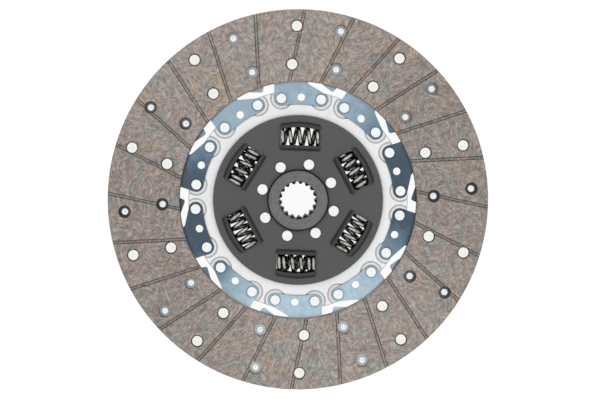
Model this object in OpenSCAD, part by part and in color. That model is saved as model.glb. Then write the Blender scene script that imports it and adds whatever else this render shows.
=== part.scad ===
// Dry clutch disc with riveted facings, cushion segments and a sprung damper hub.
// It lies on the long rear end of its hub, with the short front end up.
// Z is the shaft's axis, and the origin is the centre of the hub's rear end face.
// A window or a segment is drawn with X pointing outwards and Y along the rim.

/* [Friction facings] */
// Outer diameter of both facings
facing_od = 325; // [300:1:350]
// Diameter of both facings' bore
facing_bore_d = 203; // [196:1:220]
// Thickness of one facing
facing_t = 3.8; // [3.2:0.1:5]
// Bevel along the rim and the bore of a facing's working face
facing_bevel = 0.4; // [0.2:0.1:0.8]
// Number of dust grooves across a facing
groove_count = 24; // [12:1:30]
// Width of a dust groove
groove_w = 2.7; // [1.5:0.1:4]
// Depth of a dust groove
groove_depth = 0.9; // [0.4:0.1:1.4]
// Distance from the shaft's axis to the line that each groove follows
groove_offset = 28.6; // [15:0.5:40]
// Turn of the first groove about the shaft's axis
groove_turn = 2.8; // [0:0.2:14]

/* [Facing rivets] */
// From a facing's bore to its inner circle of rivets
inner_row_inset = 14.5; // [12:0.5:18]
// From a facing's rim to its outer circle of rivets
outer_row_inset = 14; // [11:0.5:18]
// Half the distance between the two columns of rivets on a segment
rivet_column = 18.9; // [15:0.1:22]
// Diameter of a facing rivet's head
facing_head_d = 9.2; // [7:0.1:10]
// Thickness of a facing rivet's head
facing_head_t = 1; // [0.6:0.1:1.3]
// Diameter of a facing rivet's shank
facing_shank_d = 4.8; // [4:0.1:5.4]
// Diameter of the rolled tail
facing_tail_d = 6; // [5.8:0.1:7]
// Height of the rolled tail
facing_tail_t = 0.8; // [0.5:0.1:0.85]
// Facing left under a rivet head
rivet_web = 1.7; // [1.2:0.1:2]
// Free width round a rivet's head in its hole
head_room = 0.7; // [0.2:0.1:1.5]
// Depth of the dimple in a facing rivet's head
head_dimple = 0.3; // [0.1:0.05:0.4]

/* [Cushion segments] */
// Number of cushion segments
segment_count = 10; // [10:1:10]
// Turn of the first segment's centre line about the shaft's axis
segment_turn = 11.1; // [0:0.1:36]
// Thickness of the spring steel
segment_t = 0.9; // [0.7:0.05:1.2]
// Height of a pad's middle plane over the neck's
segment_wave = 0.5; // [0.3:0.05:0.7]
// Width of the bend from one pad to the other
wave_bend = 9; // [6:0.5:9]
// From the facings' rim to the outer edge of a pad
pad_inset = 4.5; // [2:0.5:6]
// Free width between the pads of neighbouring segments, at the rim
pad_gap = 9.5; // [6:0.5:14]
// Turn of the neck's middle from the segment's centre line
neck_turn = 5.1; // [4:0.1:6]
// Turn from the neck's middle to either of its two rivets
neck_rivet_turn = 11.15; // [10.5:0.05:11.5]
// Radius of the lobe round each neck rivet
neck_lobe_r = 6; // [5.4:0.1:7]
// Direction of the neck's long side, from the centre line
neck_side_angle = 7.5; // [5:0.5:10]
// Direction of the neck's slanted side, from the centre line
slit_neck_angle = 66.5; // [64:0.5:69]
// Direction of the wing's back edge, from the centre line
wing_back_angle = -36; // [-45:1:-28]
// Width of the slit's mouth
slit_mouth_w = 5.1; // [4.6:0.1:5.6]
// Radius of the wing's tip
wing_tip_r = 1.8; // [1.2:0.1:2.2]
// Radius of the round end of the slit
slit_end_r = 3.4; // [3.2:0.1:3.8]
// From the slit's round end out to the facings' bore
slit_inset = 2.5; // [2:0.1:4]
// Flat of the neck between a neck rivet's head and the ramp
ramp_inset = 2.25; // [1.5:0.05:3]
// From the facings' bore to the top of the ramp
ramp_reach = 1.5; // [1:0.1:3]
// Diameter of the locating hole in the neck
locating_d = 6.4; // [5:0.1:7.5]

/* [Neck rivets] */
// Diameter of a neck rivet's head
neck_head_d = 8.7; // [7:0.1:9.4]
// Height of a neck rivet's head
neck_head_t = 1.5; // [1:0.1:2]
// Diameter of a neck rivet's shank
neck_shank_d = 5.2; // [4:0.1:6]

/* [Carrier plate] */
// From the carrier plate's rim to the facings' bore
carrier_gap = 7.5; // [5:0.5:9]
// From the carrier plate's rim to the circle of neck rivets
neck_rivet_inset = 5.9; // [5.2:0.1:7]
// Thickness of the carrier plate
carrier_t = 3; // [2.4:0.1:4]
// Outer radius of the coined ring round each neck rivet
coin_r = 9.4; // [9:0.1:9.8]
// Width of the coined ring
coin_w = 1.2; // [0.6:0.1:1.4]
// Depth of the coined ring
coin_depth = 0.5; // [0.1:0.05:0.6]

/* [Damper] */
// Number of spring windows
window_count = 6; // [6:1:6]
// Turn of the first window about the shaft's axis
window_turn = 28; // [0:1:59]
// Width of plate left between the friction rings and the windows
window_land = 1.95; // [1:0.05:5]
// Length of a window along the rim
window_l = 33; // [30:0.5:34]
// Width of the slot between a window's two lips
window_slot_w = 15.6; // [12:0.2:16]
// From the springs' middle line to the slot's, towards the rim
slot_shift = 0.6; // [0:0.1:1]
// Thickness of a side plate
plate_t = 3.2; // [2.6:0.1:4]
// From the springs' outer side to the side plates' rim
plate_rim = 8.8; // [7:0.2:10]
// Height of a lip over its side plate
lip_h = 3.2; // [2:0.1:3.8]
// Width of a lip's outer slope
lip_slope = 3.8; // [2:0.1:5]
// Thickness of a lip along the slot
lip_t = 1.6; // [1.2:0.1:2.2]
// Space for the friction rings on either side of the carrier plate
ring_space = 2; // [1.6:0.1:2.6]
// Width of a friction ring
ring_w = 5.6; // [4:0.2:6]
// Thickness of the disc spring behind the rear friction ring
disc_spring_t = 0.5; // [0.3:0.05:0.7]
// Rise of the disc spring's cone
disc_spring_rise = 0.3; // [0.1:0.05:0.5]

/* [Damper springs] */
// Outer diameter of an outer spring
spring_od = 19.5; // [18:0.1:20.5]
// Wire diameter of an outer spring that holds an inner one
paired_wire = 3.8; // [3:0.1:3.8]
// Wire diameter of an outer spring that stands alone
single_wire = 3.7; // [2.6:0.1:3.8]
// Outer diameter of an inner spring
inner_od = 11.3; // [10:0.1:11.4]
// Wire diameter of an inner spring
inner_wire = 2.4; // [1.8:0.1:2.6]
// Turns of an outer spring that holds an inner one
paired_turns = 5.8; // [5:0.1:6]
// Closed turns at each end of it
paired_closed = 1.45; // [1:0.05:1.5]
// Turns of an outer spring that stands alone
single_turns = 5.6; // [5:0.1:6]
// Turns of the softest of these springs, in the second window
soft_turns = 5; // [4.6:0.1:5.6]
// Turns of an inner spring
inner_turns = 8.8; // [6:0.1:9.5]
// Flat turn at each end of a spring that stands alone or inside another
flat_turn = 0.7; // [0.6:0.05:0.8]

/* [Hub] */
// Length of the hub
hub_l = 38; // [34:1:50]
// Height of the hub's front end over the front side plate
hub_front = 4; // [3:0.5:8]
// Outer diameter of the hub's barrel
hub_od = 50.6; // [46:0.2:52]
// Bevel at the barrel's ends
hub_bevel = 0.8; // [0.5:0.1:2]
// Number of spline teeth
spline_teeth = 17; // [17:1:17]
// Diameter between facing tooth tips
spline_tip_d = 28; // [27:0.1:29]
// Diameter at the bottom of the tooth spaces
spline_root_d = 32; // [31.4:0.1:33]
// Width of a tooth space half-way down
spline_space_w = 2.75; // [2.4:0.05:3]
// Slope of a tooth's side
spline_flank = 30; // [20:1:35]
// Turn of the first tooth about the shaft's axis
spline_turn = -2.5; // [-10:0.5:10]
// Depth of the bevel that leads into the spline
spline_lead = 2.2; // [1:0.1:2.4]
// Number of hub rivets
hub_rivet_count = 8; // [6:1:8]
// Turn of the first hub rivet about the shaft's axis
hub_rivet_turn = 28; // [0:1:44]
// From the barrel to the circle of hub rivets
hub_rivet_inset = 6.4; // [6:0.1:7]
// From the circle of hub rivets to the flange's rim
flange_edge = 4.3; // [4:0.1:5]
// Diameter of a hub rivet's head
hub_head_d = 9.2; // [8:0.1:10]
// Height of a hub rivet's head
hub_head_t = 2; // [1.4:0.1:2.6]
// Diameter of a hub rivet's shank
hub_shank_d = 6.4; // [5:0.1:7]

/* [Clearances] */
// Free width round a rivet's shank in its hole
shank_fit = 0.05; // [0.03:0.01:0.1]
// Free width between the flange and what turns on it
turn_fit = 0.25; // [0.1:0.05:0.3]
// Free height between the carrier plate and its friction rings
face_fit = 0.05; // [0.02:0.01:0.1]
// Free width between the barrel and a side plate's bore
barrel_fit = 0.6; // [0.5:0.05:0.8]
// Free width round a spring in its window
spring_fit = 0.45; // [0.3:0.05:0.6]
// Free length at each end of a spring
spring_end_fit = 0.25; // [0.2:0.05:0.4]

/* [Hidden] */
$fn = 96;
// How far a cutting shape reaches past what it cuts
over = 1;

// Heights, from the hub's rear end upwards
front_plate_z = hub_l - hub_front - plate_t;
flange_t = carrier_t + 2 * ring_space;
rear_plate_z = front_plate_z - flange_t;
damper_z = front_plate_z - flange_t / 2;
carrier_z = damper_z - carrier_t / 2;
neck_z = damper_z + carrier_t / 2 + segment_t / 2;
pad_face = segment_wave + segment_t / 2;
segment_reach = pad_face + over;

// Radii, from the shaft outwards
hub_r = hub_od / 2;
hub_rivet_r = hub_r + hub_rivet_inset;
flange_r = hub_rivet_r + flange_edge;
carrier_bore_r = flange_r + turn_fit;
spring_r = spring_od / 2;
trough_r = spring_r + spring_fit;
spring_circle_r = carrier_bore_r + ring_w + window_land + trough_r;
plate_r = spring_circle_r + spring_r + plate_rim;
facing_bore_r = facing_bore_d / 2;
facing_rim_r = facing_od / 2;
carrier_r = facing_bore_r - carrier_gap;
neck_rivet_r = carrier_r - neck_rivet_inset;
inner_row_r = facing_bore_r + inner_row_inset;
outer_row_r = facing_rim_r - outer_row_inset;
pad_r = facing_rim_r - pad_inset;

// Angles between like features
segment_step = 360 / segment_count;
window_step = 360 / window_count;
pad_half_angle = segment_step / 2 - asin(pad_gap / 2 / pad_r);

// Springs: which windows hold a pair, and where each coil starts
spring_l = window_l - 2 * spring_end_fit;
coil_start = [94, 286, 346, 220, 346, 0];
inner_start = [150, 0, 60, 0, 80, 0];
outer_steps = 14;
outer_sides = 8;
inner_steps = 10;
inner_sides = 6;

function polar(r, a) = [r * cos(a), r * sin(a)];

function arc(centre, r, from, to, steps) =
    [for (i = [0:steps]) centre + polar(r, from + (to - from) * i / steps)];

// Where a row of facing rivets crosses a column of them
function row_x(row_r) = sqrt(row_r * row_r - rivet_column * rivet_column);

// Radii of the two circles of facing rivets
facing_rows = [inner_row_r, outer_row_r];

// Places copies at every window, segment or hub rivet
module at_windows() {
    for (k = [0:window_count - 1])
        rotate([0, 0, window_turn + k * window_step]) children();
}

module at_segments() {
    for (k = [0:segment_count - 1])
        rotate([0, 0, segment_turn + k * segment_step]) children();
}

module at_hub_rivets() {
    for (k = [0:hub_rivet_count - 1])
        rotate([0, 0, hub_rivet_turn + k * 360 / hub_rivet_count])
            translate([hub_rivet_r, 0, 0]) children();
}

module at_neck_rivets() {
    for (side = [-1, 1])
        translate(polar(neck_rivet_r, neck_turn + side * neck_rivet_turn)) children();
}

// Both rows of the facing rivets in one column of a segment
module at_column(side) {
    for (row_r = facing_rows)
        translate([row_x(row_r), side * rivet_column, 0]) children();
}

// Hub: barrel and flange in one forging, with an internal spline

// One tooth space, drawn outwards along X from inside the tip circle
module tooth_space() {
    middle_r = (spline_tip_d + spline_root_d) / 4;
    reach = (spline_root_d - spline_tip_d) / 2;
    widen = reach * tan(spline_flank);
    inner_w = spline_space_w / 2 + widen;
    outer_w = spline_space_w / 2 - widen;
    polygon([
        [middle_r - reach, -inner_w], [middle_r + reach, -outer_w],
        [middle_r + reach, outer_w], [middle_r - reach, inner_w]
    ]);
}

module spline_section() {
    circle(d = spline_tip_d);
    intersection() {
        circle(d = spline_root_d);
        for (k = [0:spline_teeth - 1])
            rotate(spline_turn + (k + 0.5) * 360 / spline_teeth) tooth_space();
    }
}

module hub() {
    root = 0.4;
    flange_front = front_plate_z;
    flange_rear = rear_plate_z;
    lead_r = spline_root_d / 2 + 0.3;
    color([0.45, 0.44, 0.42]) difference() {
        rotate_extrude() polygon([
            [0, 0], [hub_r - hub_bevel, 0], [hub_r, hub_bevel],
            [hub_r, flange_rear - root], [hub_r + root, flange_rear],
            [flange_r - root, flange_rear], [flange_r, flange_rear + root],
            [flange_r, flange_front - root], [flange_r - root, flange_front],
            [hub_r + root, flange_front], [hub_r, flange_front + root],
            [hub_r, hub_l - hub_bevel], [hub_r - hub_bevel, hub_l], [0, hub_l]
        ]);
        translate([0, 0, -over]) linear_extrude(hub_l + 2 * over) spline_section();
        translate([0, 0, hub_l - spline_lead])
            cylinder(r1 = lead_r - spline_lead, r2 = lead_r + over, h = spline_lead + over);
        translate([0, 0, -over])
            cylinder(r1 = lead_r + over, r2 = lead_r - spline_lead, h = spline_lead + over);
        at_hub_rivets() translate([0, 0, flange_rear - over])
            cylinder(d = hub_shank_d + 2 * shank_fit, h = flange_t + 2 * over);
    }
}

// Side plates: pressed discs whose window lips hold the springs in

// Section of a lip from its root on the plate to its edge along the slot.
// The first coordinate is the distance from the springs' middle line.
function lip_profile() = let (
    face = flange_t / 2 + plate_t,
    edge = window_slot_w / 2,
    crest = edge + lip_t,
    root = crest + lip_slope,
    rise = [for (i = [0:6]) let (t = i / 6)
        [root + (crest - root) * t, face + lip_h * (3 - 2 * t) * t * t]]
) concat(
    [[root, face - plate_t / 2]], rise,
    [[edge + lip_t * 0.3, face + lip_h * 0.94], [edge - over, face + lip_h * 0.55],
     [edge - over, face - plate_t / 2]]
);

// Outer lips and the slot's outer side follow circles round the shaft, inner lips are straight
module window_lips() {
    lip = lip_profile();
    intersection() {
        rotate_extrude()
            polygon([for (p = lip) [spring_circle_r + slot_shift + p[0], p[1]]]);
        at_windows() translate([0, -window_l / 2, 0])
            cube([plate_r, window_l, flange_t + plate_t + lip_h]);
    }
    at_windows() translate([spring_circle_r + slot_shift, window_l / 2, 0])
        rotate([90, 0, 0]) linear_extrude(window_l) polygon([for (p = lip) [-p[0], p[1]]]);
}

// A side plate with its inner face flange_t / 2 above the damper's middle plane
module side_plate() {
    low = flange_t / 2;
    high = low + plate_t;
    round_r = 0.8;
    slot_r = spring_circle_r + slot_shift + window_slot_w / 2;
    color([0.16, 0.16, 0.17]) difference() {
        union() {
            rotate_extrude() polygon(concat(
                [[hub_r + barrel_fit, low], [plate_r, low]],
                arc([plate_r - round_r, high - round_r], round_r, 0, 90, 4),
                [[hub_r + barrel_fit + 0.3, high], [hub_r + barrel_fit, high - 0.3]]
            ));
            window_lips();
        }
        at_windows() {
            translate([spring_circle_r, window_l / 2, 0]) rotate([90, 0, 0])
                cylinder(r = trough_r, h = window_l);
            intersection() {
                translate([slot_r - window_slot_w, -window_l / 2, 0])
                    cube([window_slot_w, window_l, high + lip_h + over]);
                cylinder(r = slot_r, h = high + lip_h + over);
            }
        }
        at_hub_rivets() translate([0, 0, low - over])
            cylinder(d = hub_shank_d + 2 * shank_fit, h = plate_t + 2 * over);
    }
}

module front_side_plate() {
    translate([0, 0, damper_z]) side_plate();
}

// The same pressing turned over about a line through a window's middle
module rear_side_plate() {
    translate([0, 0, damper_z]) mirror([0, 0, 1]) side_plate();
}

// Carrier plate: turns on the flange and carries the cushion segments

module coined_ring() {
    difference() {
        cylinder(r = coin_r, h = coin_depth + over);
        translate([0, 0, -over]) cylinder(r = coin_r - coin_w, h = coin_depth + 3 * over);
    }
}

module carrier_plate() {
    bevel = 0.4;
    color([0.82, 0.82, 0.83]) translate([0, 0, carrier_z]) difference() {
        rotate_extrude() polygon([
            [carrier_bore_r, 0], [carrier_r - bevel, 0], [carrier_r, bevel],
            [carrier_r, carrier_t - bevel], [carrier_r - bevel, carrier_t],
            [carrier_bore_r, carrier_t]
        ]);
        at_windows() translate([spring_circle_r - trough_r, -window_l / 2, -over])
            cube([2 * trough_r, window_l, carrier_t + 2 * over]);
        at_segments() {
            at_neck_rivets() {
                translate([0, 0, -over])
                    cylinder(d = neck_shank_d + 2 * shank_fit, h = carrier_t + 2 * over);
                translate([0, 0, carrier_t - coin_depth]) coined_ring();
            }
            translate(polar(neck_rivet_r, neck_turn)) translate([0, 0, -over])
                cylinder(d = locating_d, h = carrier_t + 2 * over);
        }
    }
}

// Friction rings and the disc spring that presses them on the carrier plate

module friction_ring(z, t) {
    color([0.35, 0.28, 0.22]) translate([0, 0, z]) difference() {
        cylinder(r = carrier_bore_r + ring_w, h = t);
        translate([0, 0, -over]) cylinder(r = carrier_bore_r, h = t + 2 * over);
    }
}

module front_friction_ring() {
    friction_ring(carrier_z + carrier_t + face_fit, ring_space - face_fit);
}

module rear_friction_ring() {
    t = ring_space - face_fit - disc_spring_t - disc_spring_rise;
    friction_ring(carrier_z - face_fit - t, t);
}

module disc_spring() {
    low = rear_plate_z;
    inner = carrier_bore_r;
    outer = inner + ring_w;
    color([0.5, 0.5, 0.5]) rotate_extrude() polygon([
        [outer, low], [outer, low + disc_spring_t],
        [inner, low + disc_spring_t + disc_spring_rise], [inner, low + disc_spring_rise]
    ]);
}

// Facings: one part used on both sides, turned over about a segment's centre line.
// It is drawn with its working face up and its back at height 0.

module facing_groove() {
    translate([0, groove_offset - groove_w / 2, facing_t - groove_depth])
        cube([facing_rim_r + over, groove_w, groove_depth + over]);
}

module facing() {
    hole_d = facing_head_d + 2 * head_room;
    color([0.52, 0.47, 0.42]) difference() {
        rotate_extrude() polygon([
            [facing_bore_r, 0], [facing_rim_r, 0],
            [facing_rim_r, facing_t - facing_bevel],
            [facing_rim_r - facing_bevel, facing_t],
            [facing_bore_r + facing_bevel, facing_t],
            [facing_bore_r, facing_t - facing_bevel]
        ]);
        for (k = [0:groove_count - 1])
            rotate([0, 0, groove_turn - segment_turn + k * 360 / groove_count])
                facing_groove();
        for (k = [0:segment_count - 1]) rotate([0, 0, k * segment_step]) {
            at_column(1) {
                translate([0, 0, rivet_web]) cylinder(d = hole_d, h = facing_t);
                translate([0, 0, -over])
                    cylinder(d = facing_shank_d + 2 * shank_fit, h = facing_t);
            }
            at_column(-1) translate([0, 0, -over])
                cylinder(d = hole_d, h = facing_t + 2 * over);
        }
    }
}

module front_facing() {
    translate([0, 0, neck_z + pad_face]) rotate([0, 0, segment_turn]) facing();
}

module rear_facing() {
    translate([0, 0, neck_z - pad_face]) rotate([0, 0, segment_turn])
        rotate([180, 0, 0]) facing();
}

// Cushion segment: a flat neck on the carrier plate, and a paddle that waves
// from a front pad to a rear pad. Height 0 is the neck's middle plane.

// The neck's ramp up to the front pad ends where the paddle begins
ramp_end_r = facing_bore_r + ramp_reach;
ramp_start_r = neck_rivet_r + neck_head_d / 2 + ramp_inset;

neck_a = polar(neck_rivet_r, neck_turn - neck_rivet_turn);
neck_b = polar(neck_rivet_r, neck_turn + neck_rivet_turn);
slit_dir = polar(1, slit_neck_angle);
// Tangent points of the neck's two straight sides on its lobes
side_start = neck_b + polar(neck_lobe_r, neck_side_angle + 90);
slit_start = neck_a + polar(neck_lobe_r, slit_neck_angle - 90);
// The slit's round end touches the neck's slanted side, level with the facings' bore
slit_run = (facing_bore_r - slit_inset - slit_start[0]) / cos(slit_neck_angle);
slit_end = slit_start + slit_run * slit_dir + polar(slit_end_r, slit_neck_angle - 90);
// The wing's tip stands off the neck's lobe across the slit
wing_tip = neck_a + polar(neck_lobe_r + slit_mouth_w + wing_tip_r, slit_neck_angle - 108);
// The wing's slanted side touches both its round tip and the slit's round end
wing_run = slit_end - wing_tip;
wing_angle = atan2(wing_run[1], wing_run[0])
    - asin((wing_tip_r + slit_end_r) / norm(wing_run));
// The neck's long side meets the paddle just past the ramp
join_r = ramp_end_r + over;
side_dir = polar(1, neck_side_angle);
side_mid = side_start * side_dir;
side_run = sqrt(join_r * join_r - side_start * side_start + side_mid * side_mid) - side_mid;
side_end = side_start + side_run * side_dir;
// The bend between the pads ends at the slit
bend_end = slit_end[1] + over;
bend_start = bend_end - wave_bend;

module neck_shape() {
    at_neck_rivets() circle(r = neck_lobe_r);
    polygon(concat(
        arc([0, 0], neck_rivet_r - neck_lobe_r,
            neck_turn - neck_rivet_turn, neck_turn + neck_rivet_turn, 12),
        [neck_b, side_start, side_end + 3 * side_dir],
        [[join_r + 3 * over, bend_end], [slit_end[0], bend_end], slit_end,
         slit_start + slit_run * slit_dir, slit_start, neck_a]
    ));
}

module paddle_shape() {
    corner_l = polar(pad_r, -pad_half_angle);
    corner_r = polar(pad_r, pad_half_angle);
    back_start = wing_tip + polar(wing_tip_r, wing_back_angle - 90);
    back_end = back_start + polar(pad_r / 20, wing_back_angle);
    join_a = asin(bend_end / join_r);
    join_b = atan2(side_end[1], side_end[0]);
    translate(wing_tip) circle(r = wing_tip_r);
    intersection() {
        circle(r = pad_r);
        polygon(concat(
            [wing_tip, back_start, back_end, 2 * corner_l - back_end],
            [[3 * pad_r, 0], 2 * corner_r - side_end],
            arc([0, 0], join_r, join_b, join_a, 8),
            [slit_end, slit_end + polar(slit_end_r, wing_angle - 90),
             wing_tip + polar(wing_tip_r, wing_angle + 90)]
        ));
    }
}

// Neck and its ramp, a slice of a surface round the shaft
module segment_neck() {
    h = segment_t / 2;
    w = segment_wave;
    low_r = neck_rivet_r - neck_lobe_r - over;
    high_r = ramp_end_r + 2 * over;
    intersection() {
        translate([0, 0, -segment_reach])
            linear_extrude(2 * segment_reach) neck_shape();
        rotate_extrude() polygon([
            [low_r, -h], [ramp_start_r, -h], [ramp_end_r, w - h], [high_r, w - h],
            [high_r, w + h], [ramp_end_r, w + h], [ramp_start_r, h], [low_r, h]
        ]);
    }
}

// Both pads and the bend between them, which runs outwards along X
module segment_paddle() {
    h = segment_t / 2;
    w = segment_wave;
    reach = pad_r;
    intersection() {
        translate([0, 0, -segment_reach])
            linear_extrude(2 * segment_reach) paddle_shape();
        rotate([90, 0, 90]) linear_extrude(pad_r + over) polygon([
            [-reach, -w - h], [bend_start, -w - h], [bend_end, w - h], [reach, w - h],
            [reach, w + h], [bend_end, w + h], [bend_start, -w + h], [-reach, -w + h]
        ]);
    }
}

module cushion_segment(k) {
    color([0.35, 0.45, 0.55]) translate([0, 0, neck_z])
        rotate([0, 0, segment_turn + (k - 1) * segment_step]) difference() {
            union() {
                segment_neck();
                segment_paddle();
            }
            translate([0, 0, -segment_reach]) {
                translate(slit_end) cylinder(r = slit_end_r, h = 2 * segment_reach);
                translate(polar(neck_rivet_r, neck_turn))
                    cylinder(d = locating_d, h = 2 * segment_reach);
                at_neck_rivets()
                    cylinder(d = neck_shank_d + 2 * shank_fit, h = 2 * segment_reach);
                for (side = [-1, 1]) at_column(side)
                    cylinder(d = facing_shank_d + 2 * shank_fit, h = 2 * segment_reach);
            }
        }
}

// Rivets: each is one turned solid, drawn with its head up

// A facing rivet with the underside of its head at height 0
module facing_rivet() {
    head = facing_head_d / 2;
    shank = facing_shank_d / 2;
    tail = facing_tail_d / 2;
    grip = rivet_web + segment_t;
    dimple = shank * 0.3;
    end = -grip - facing_tail_t;
    rotate_extrude() polygon([
        [0, facing_head_t - head_dimple], [head * 0.28, facing_head_t - head_dimple],
        [head * 0.38, facing_head_t], [head - 0.35, facing_head_t],
        [head, facing_head_t - 0.3], [head, 0.15], [head - 0.15, 0], [shank, 0],
        [shank, -grip], [tail - 0.2, -grip], [tail, -grip - 0.25],
        [tail - 0.1, end + 0.2], [tail - 0.5, end], [dimple + 0.3, end],
        [dimple, end + 0.3], [0, end + 0.4]
    ]);
}

module front_facing_rivets() {
    color([0.86, 0.85, 0.82]) translate([0, 0, neck_z + pad_face + rivet_web])
        at_segments() at_column(1) facing_rivet();
}

module rear_facing_rivets() {
    color([0.86, 0.85, 0.82]) translate([0, 0, neck_z - pad_face - rivet_web])
        at_segments() at_column(-1) mirror([0, 0, 1]) facing_rivet();
}

// A round-headed rivet with a like tail, the head's underside at height 0
module plate_rivet(head_d, head_t, shank_d, grip) {
    head = head_d / 2;
    shank = shank_d / 2;
    edge = 0.5 * head_t;
    dish = 0.12;
    cap = [for (i = [0:5]) let (a = 15 * i)
        [head - edge + edge * cos(a), head_t - edge + edge * sin(a)]];
    dome = [[head * 0.55, head_t], [head * 0.42, head_t - dish], [0, head_t - dish]];
    upper = concat([[shank, 0], [head, 0]], cap, dome);
    lower = [for (i = [len(upper) - 1:-1:0]) [upper[i][0], -grip - upper[i][1]]];
    rotate_extrude() polygon(concat(upper, lower));
}

module neck_rivets() {
    color([0.92, 0.93, 0.93]) translate([0, 0, neck_z + segment_t / 2])
        at_segments() at_neck_rivets()
            plate_rivet(neck_head_d, neck_head_t, neck_shank_d, segment_t + carrier_t);
}

module hub_rivets() {
    color([0.92, 0.92, 0.94]) translate([0, 0, front_plate_z + plate_t])
        at_hub_rivets()
            plate_rivet(hub_head_d, hub_head_t, hub_shank_d, flange_t + 2 * plate_t);
}

// Damper springs: a round wire carried along a helix by a loop

// Position along the spring after t of its turns, from one ground end to the other.
// The wire's middle starts in the end's plane. It stays there for a flat turn, with
// half the wire ground off, or lies close against the next one for the closed turns.
function coil_y(t, turns, wire, closed) = let (
    tight = closed < 1 ? wire / 2 / closed : 1.01 * wire,
    open_pitch = (spring_l - 2 * closed * tight) / (turns - 2 * closed)
) t < closed ? t * tight
    : t > turns - closed ? spring_l - (turns - t) * tight
    : closed * tight + (t - closed) * open_pitch;

// A coil lying along Y with its middle at the origin. A hand of 1 winds it to the right.
module coil(od, wire, turns, closed, start, hand, steps, sides) {
    mean_r = (od - wire) / 2;
    rings = round(turns * steps);
    points = [for (i = [0:rings]) let (
            a = start + 360 * i / steps,
            y = spring_l / 2 - coil_y(i / steps, turns, wire, closed)
        ) for (j = [0:sides - 1]) let (
            b = 360 * (j + 0.5) / sides,
            r = mean_r + wire / 2 * cos(b),
            ground = max(-spring_l / 2, min(spring_l / 2, y + wire / 2 * sin(b)))
        ) [r * cos(a), hand * ground, r * sin(a)]];
    sheets = [for (i = [0:rings - 1], j = [0:sides - 1]) let (
            n = (j + 1) % sides,
            p = i * sides
        ) each [[p + j, p + sides + n, p + n], [p + j, p + sides + j, p + sides + n]]];
    // Each end is a fan of triangles from a point on the side away from the flat
    fan = [for (i = [1:sides - 2]) [0, i, i + 1]];
    start_cap = [for (f = fan) [for (i = [0:2]) (round(0.7 * sides) + f[i]) % sides]];
    end_cap = [for (f = fan) [for (i = [2:-1:0])
        rings * sides + (round(0.2 * sides) + f[i]) % sides]];
    all_faces = concat(sheets, start_cap, end_cap);
    flipped = [for (f = all_faces) [for (i = [len(f) - 1:-1:0]) f[i]]];
    polyhedron(points = points, faces = hand > 0 ? all_faces : flipped);
}

module at_window(k) {
    rotate([0, 0, window_turn + (k - 1) * window_step])
        translate([spring_circle_r, 0, damper_z]) children();
}

module damper_spring(k) {
    paired = k % 2 == 1;
    turns = paired ? paired_turns : k == 2 ? soft_turns : single_turns;
    color([0.6, 0.58, 0.55]) at_window(k)
        coil(spring_od, paired ? paired_wire : single_wire, turns,
             paired ? paired_closed : flat_turn,
             coil_start[k - 1], 1, outer_steps, outer_sides);
}

module inner_spring(k) {
    color([0.55, 0.53, 0.5]) at_window(k)
        coil(inner_od, inner_wire, inner_turns, flat_turn,
             inner_start[k - 1], -1, inner_steps, inner_sides);
}

hub();
front_side_plate();
rear_side_plate();
carrier_plate();
front_friction_ring();
rear_friction_ring();
disc_spring();
front_facing();
rear_facing();
cushion_segment(1);  // cushion_segment_01
cushion_segment(2);  // cushion_segment_02
cushion_segment(3);  // cushion_segment_03
cushion_segment(4);  // cushion_segment_04
cushion_segment(5);  // cushion_segment_05
cushion_segment(6);  // cushion_segment_06
cushion_segment(7);  // cushion_segment_07
cushion_segment(8);  // cushion_segment_08
cushion_segment(9);  // cushion_segment_09
cushion_segment(10);  // cushion_segment_10
damper_spring(1);  // damper_spring_1
damper_spring(2);  // damper_spring_2
damper_spring(3);  // damper_spring_3
damper_spring(4);  // damper_spring_4
damper_spring(5);  // damper_spring_5
damper_spring(6);  // damper_spring_6
inner_spring(1);  // inner_spring_1
inner_spring(3);  // inner_spring_3
inner_spring(5);  // inner_spring_5
hub_rivets();
neck_rivets();
front_facing_rivets();
rear_facing_rivets();
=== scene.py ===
"""Dresses a riveted clutch disc: surfaces for its solids, wound coil springs, and a studio."""

import math

import bpy
import numpy as np
from bpy.props import FloatProperty, FloatVectorProperty, IntProperty, PointerProperty
from mathutils import Matrix, Vector


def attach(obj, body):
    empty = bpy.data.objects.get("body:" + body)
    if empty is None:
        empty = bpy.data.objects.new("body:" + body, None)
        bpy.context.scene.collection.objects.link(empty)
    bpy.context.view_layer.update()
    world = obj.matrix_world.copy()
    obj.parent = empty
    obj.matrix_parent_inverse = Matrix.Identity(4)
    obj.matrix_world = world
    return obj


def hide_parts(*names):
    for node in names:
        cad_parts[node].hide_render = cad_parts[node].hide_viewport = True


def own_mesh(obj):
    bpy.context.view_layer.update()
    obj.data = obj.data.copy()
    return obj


bl_info = {
    "name": "Clutch disc",
    "version": (1, 0, 0),
    "blender": (4, 5, 0),
    "location": "View3D > Sidebar > Clutch disc",
    "description": "Dresses a riveted clutch disc and sets up its studio",
    "category": "Object",
}

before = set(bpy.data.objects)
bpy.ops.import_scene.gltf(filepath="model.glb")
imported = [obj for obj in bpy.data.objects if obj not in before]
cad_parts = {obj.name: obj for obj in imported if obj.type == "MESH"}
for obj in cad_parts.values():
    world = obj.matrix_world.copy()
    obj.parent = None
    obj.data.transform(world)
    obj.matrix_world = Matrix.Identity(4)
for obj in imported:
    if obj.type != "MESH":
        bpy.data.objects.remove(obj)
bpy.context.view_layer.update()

SEGMENTS = [f"cushion_segment_{k:02d}" for k in range(1, 11)]
# Windows with a pair of springs, windows with one, and the one with the widest pitch
PAIRED = (1, 3, 5)
SINGLE = (2, 4, 6)
SOFT = 2
# Degrees from outwards to each wire's first end, turning towards the front
OUTER_START = {1: 94, 2: 286, 3: 346, 4: 220, 5: 346, 6: 0}
INNER_START = {1: 150, 3: 60, 5: 80}

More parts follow.
